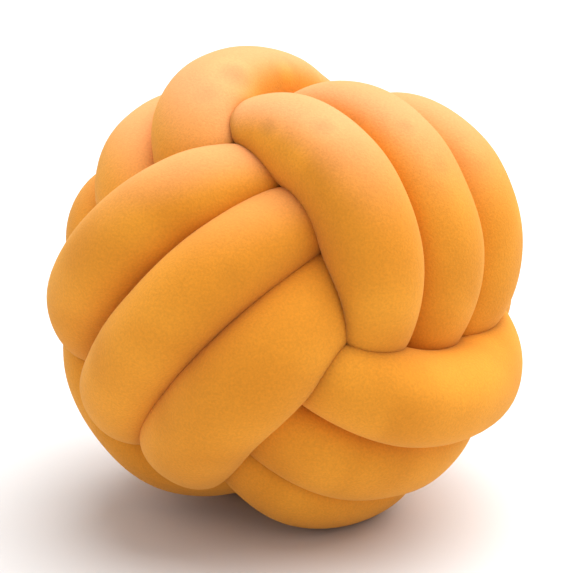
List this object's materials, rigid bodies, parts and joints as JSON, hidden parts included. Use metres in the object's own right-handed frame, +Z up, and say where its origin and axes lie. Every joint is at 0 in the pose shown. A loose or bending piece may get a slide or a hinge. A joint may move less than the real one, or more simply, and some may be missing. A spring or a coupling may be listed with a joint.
{
  "type": "knot cushion",
  "caption": "Ball-shaped knot cushion: a stuffed velvet tube wound into bands that weave over and under each other, with a small flat spot to rest on.",
  "frame": {"origin": "on the surface it rests on, under the middle of its outline", "axes": "+Z up, -Y towards the viewer of the picture; the ball lies as rolled in the picture"},
  "size_m": [0.2759, 0.2819, 0.2764],
  "materials": {
    "velvet": "short soft pile"
  },
  "bodies": {
    "root": {"knot_ball": "velvet"}
  },
  "joints": []
}
